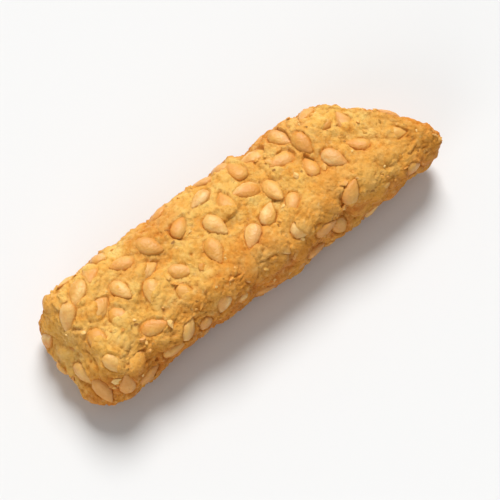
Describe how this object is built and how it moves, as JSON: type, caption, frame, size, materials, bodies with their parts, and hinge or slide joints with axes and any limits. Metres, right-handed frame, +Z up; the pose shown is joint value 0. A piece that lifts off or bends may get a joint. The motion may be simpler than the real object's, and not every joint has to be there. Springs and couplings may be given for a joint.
{
  "type": "sesame stick",
  "caption": "Short, wide finger of golden fried dough with a craggy, seeded crust, blunt at one end and cut slantwise at the other, eaten as a snack.",
  "frame": {"origin": "middle of the stick's box, on the surface that it lies on", "axes": "+X along the stick, from its broad, blunt end to its slanting cut end; +Z up, out of the face that the picture shows"},
  "size_m": [0.0402, 0.0122, 0.0082],
  "materials": {
    "golden_crust": "rough golden fried dough, faintly oily, with pale toasted sesame seeds"
  },
  "bodies": {
    "root": {"sesame_stick": "golden_crust"}
  },
  "joints": []
}
